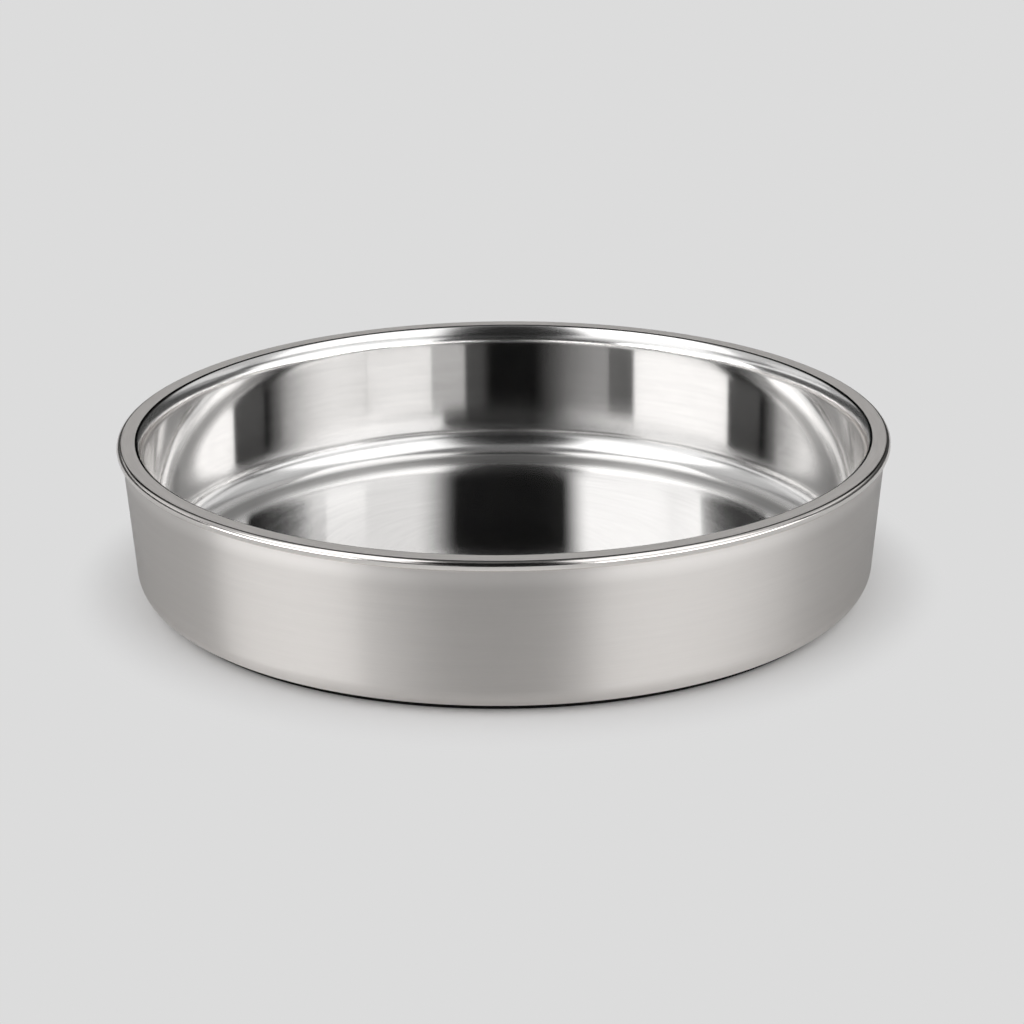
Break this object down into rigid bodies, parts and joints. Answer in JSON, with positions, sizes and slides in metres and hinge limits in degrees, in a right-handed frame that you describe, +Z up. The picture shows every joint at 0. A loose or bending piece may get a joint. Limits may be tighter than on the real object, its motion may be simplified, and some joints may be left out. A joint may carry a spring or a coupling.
{
  "type": "cat bowl",
  "caption": "Shallow round double-walled steel bowl for cat food or water, polished inside and brushed outside, with a rolled rim and a rubber foot ring.",
  "frame": {"origin": "on the table, at the middle of the foot ring's underside", "axes": "+Z up along the bowl's axis; X and Y lie on the table, and the bowl is the same all round"},
  "size_m": [0.155, 0.155, 0.0315],
  "materials": {
    "polished_steel": "mirror-polished stainless steel inside, satin on the flat of the rim",
    "brushed_steel": "stainless steel brushed round the bowl's axis",
    "ring_rubber": "matt black rubber"
  },
  "bodies": {
    "root": {"inner_bowl": "polished_steel", "outer_shell": "brushed_steel", "non_slip_ring": "ring_rubber"}
  },
  "joints": []
}
